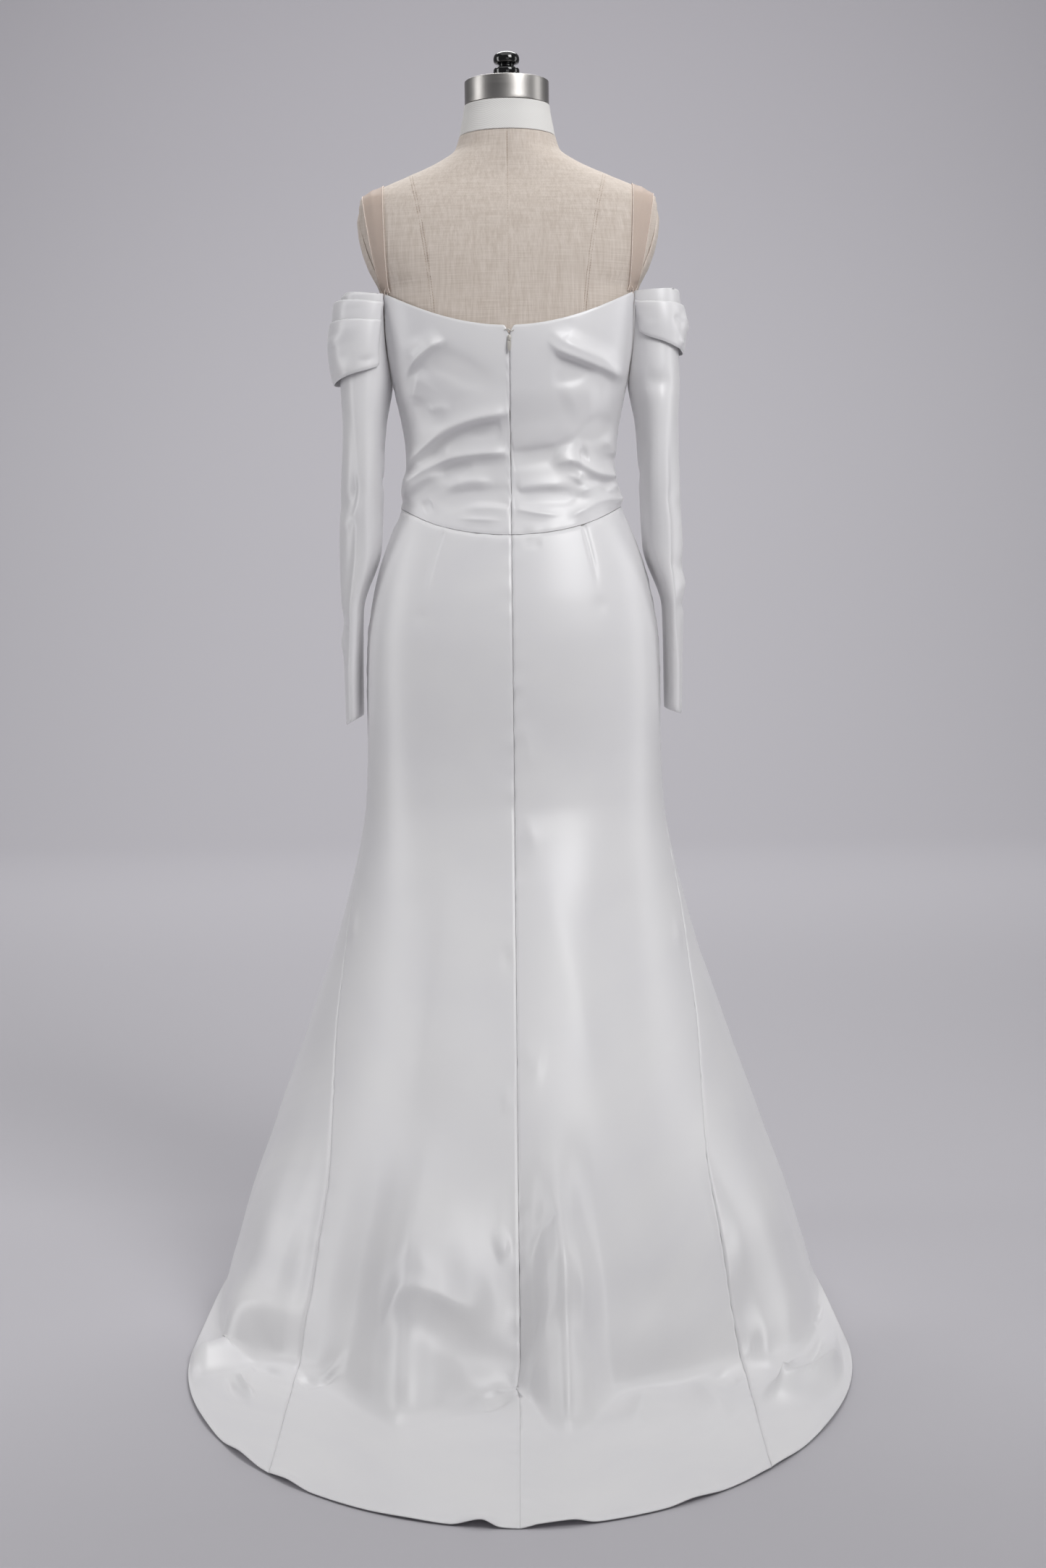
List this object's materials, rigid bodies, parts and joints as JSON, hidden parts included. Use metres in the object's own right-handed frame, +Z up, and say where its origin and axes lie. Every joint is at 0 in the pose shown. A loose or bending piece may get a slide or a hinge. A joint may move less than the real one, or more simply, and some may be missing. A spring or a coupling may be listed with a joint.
{
  "type": "wedding dress on a dress form",
  "caption": "Long-sleeved off-shoulder satin wedding dress with pleated bodice, trumpet skirt and sweep train, worn by a limbless linen dress form on a stand.",
  "frame": {"origin": "centre of the underside of the form's round foot, on the floor", "axes": "+Z up; the dress faces +Y, its back and train are towards -Y; +X is to the right as seen from behind"},
  "size_m": [0.7555, 1.169, 1.5411],
  "materials": {
    "satin": "ivory white duchess satin",
    "tape": "plain woven zip tape",
    "nude_mesh": "sheer stretch mesh",
    "linen": "natural linen cover",
    "twill": "white cotton",
    "steel": "brushed",
    "black_wood": "gloss black lacquer",
    "zip_metal": "ivory enamel",
    "stand_paint": "black paint"
  },
  "bodies": {
    "dress": {"bodice_back_left": "satin", "bodice_back_right": "satin", "bodice_front": "satin", "drape_left_1": "satin", "drape_left_2": "satin", "drape_left_3": "satin", "drape_right_1": "satin", "drape_right_2": "satin", "form_arm_plate_left": "linen", "form_arm_plate_right": "linen", "form_foot": "stand_paint", "form_knob": "black_wood", "form_neck_band": "twill", "form_neck_cap": "steel", "form_pole": "stand_paint", "form_torso": "linen", "hook_and_eye": "zip_metal", "skirt_back_left": "satin", "skirt_back_right": "satin", "skirt_front": "satin", "sleeve_left": "satin", "sleeve_right": "satin", "strap_left": "nude_mesh", "strap_right": "nude_mesh", "zip_slider": "zip_metal", "zip_tape": "tape"},
    "pull": {"zip_pull": "zip_metal"}
  },
  "joints": [
    {"name": "zip_pull_swing", "type": "hinge", "parent": "dress", "child": "pull", "pos_m": [0, -0.10506, 1.1775], "axis": [-1, 0, 0], "range_deg": [0, 150]}
  ]
}
